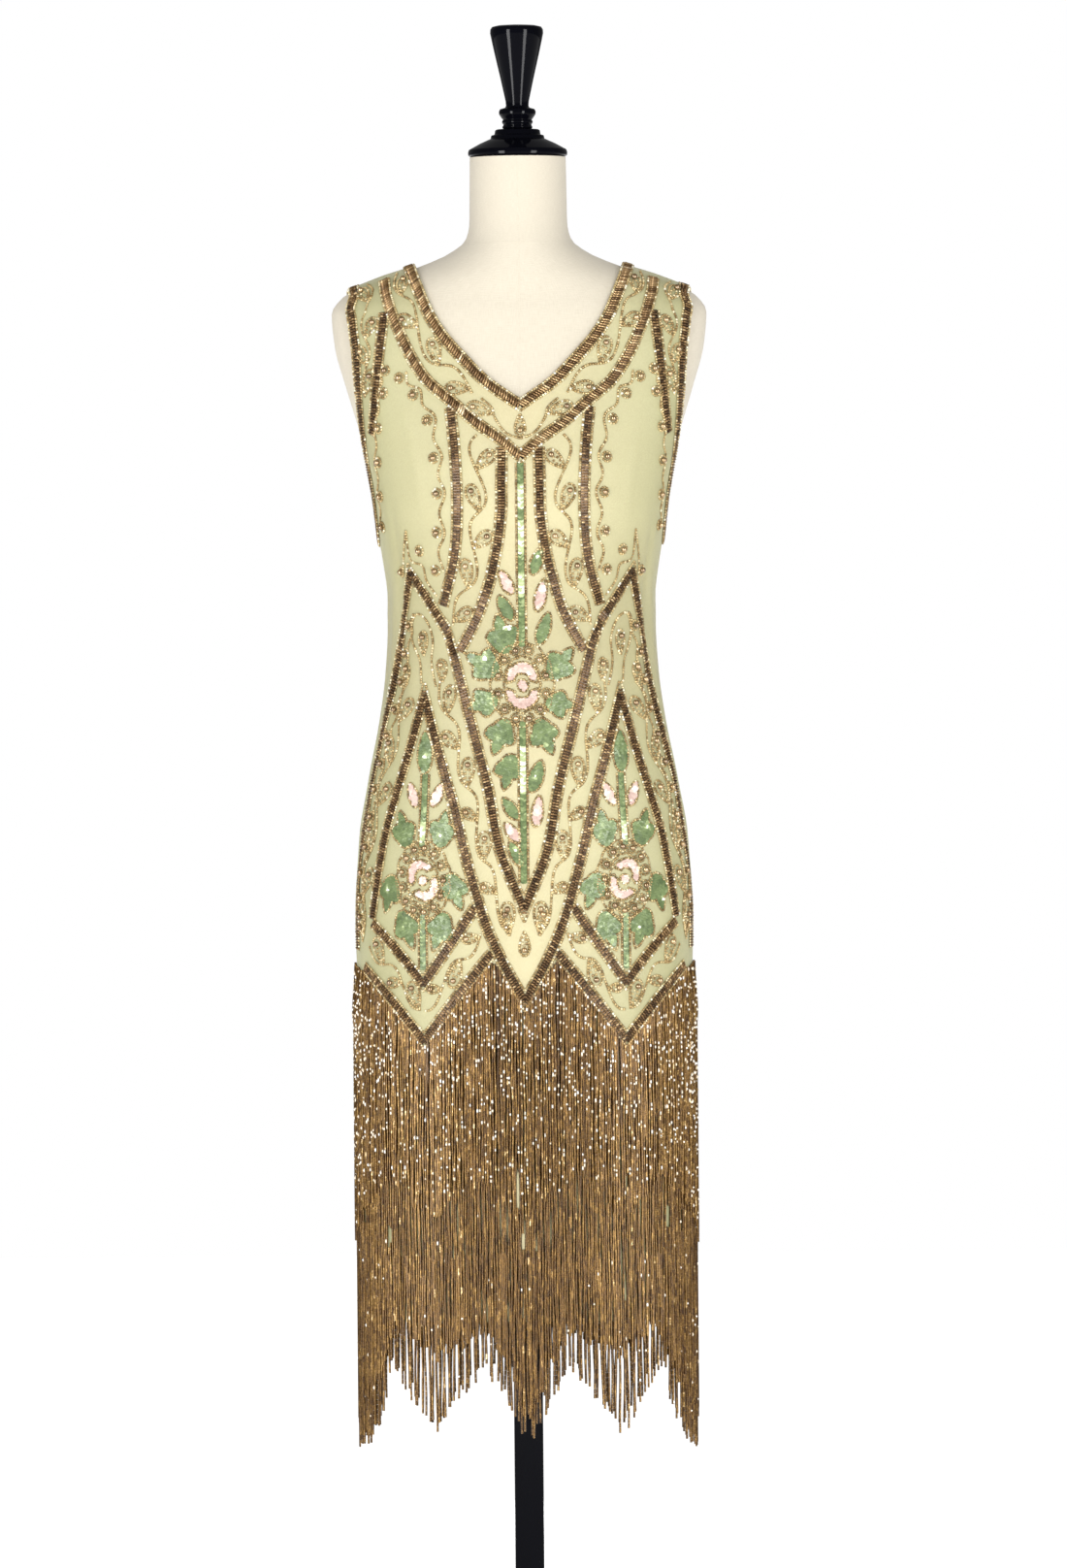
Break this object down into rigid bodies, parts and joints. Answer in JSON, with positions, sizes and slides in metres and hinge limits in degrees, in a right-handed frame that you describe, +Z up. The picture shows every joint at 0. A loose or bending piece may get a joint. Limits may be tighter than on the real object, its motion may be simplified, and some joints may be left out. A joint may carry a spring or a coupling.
{
  "type": "beaded fringe dress on a limbless dress form",
  "caption": "Sleeveless V-neck shift dress of sheer cloth with bead bands and long bead fringe, worn by a limbless dress form on a pole stand.",
  "frame": {"origin": "centre of the base plate's underside, on the floor", "axes": "+Z up, -Y towards the front of the dress, +X to the viewer's right"},
  "size_m": [0.398, 0.38, 1.74],
  "materials": {
    "georgette": "sheer crepe, matt with a faint sheen",
    "band_beads": "bronze and gold seed beads and bugles, glossy",
    "fringe_beads": "bronze seed beads on strands, glossy",
    "linen": "plain weave, matt",
    "black_lacquer": "gloss black lacquer"
  },
  "bodies": {
    "root": {"armhole_band_back_left": "band_beads", "armhole_band_back_right": "band_beads", "armhole_band_front_left": "band_beads", "armhole_band_front_right": "band_beads", "diamond_band_back_left": "band_beads", "diamond_band_back_right": "band_beads", "diamond_band_front_left": "band_beads", "diamond_band_front_right": "band_beads", "dress_back": "georgette", "dress_front": "georgette", "form_body": "linen", "form_cap": "black_lacquer", "form_finial": "black_lacquer", "fringe_edge_band_back_left": "band_beads", "fringe_edge_band_back_right": "band_beads", "fringe_edge_band_front_left": "band_beads", "fringe_edge_band_front_right": "band_beads", "hem_fringe_back": "fringe_beads", "hem_fringe_front": "fringe_beads", "inner_chevron_band_back": "band_beads", "inner_chevron_band_front": "band_beads", "neckline_band_back": "band_beads", "neckline_band_front": "band_beads", "outer_chevron_band_back": "band_beads", "outer_chevron_band_front": "band_beads", "princess_inner_band_back_left": "band_beads", "princess_inner_band_back_right": "band_beads", "princess_inner_band_front_left": "band_beads", "princess_inner_band_front_right": "band_beads", "princess_outer_band_back_left": "band_beads", "princess_outer_band_back_right": "band_beads", "princess_outer_band_front_left": "band_beads", "princess_outer_band_front_right": "band_beads", "stand_base": "black_lacquer", "stand_pole": "black_lacquer", "strap_band_back_left": "band_beads", "strap_band_back_right": "band_beads", "strap_band_front_left": "band_beads", "strap_band_front_right": "band_beads", "upper_fringe_back": "fringe_beads", "upper_fringe_front": "fringe_beads", "yoke_band_back": "band_beads", "yoke_band_front": "band_beads"}
  },
  "joints": []
}
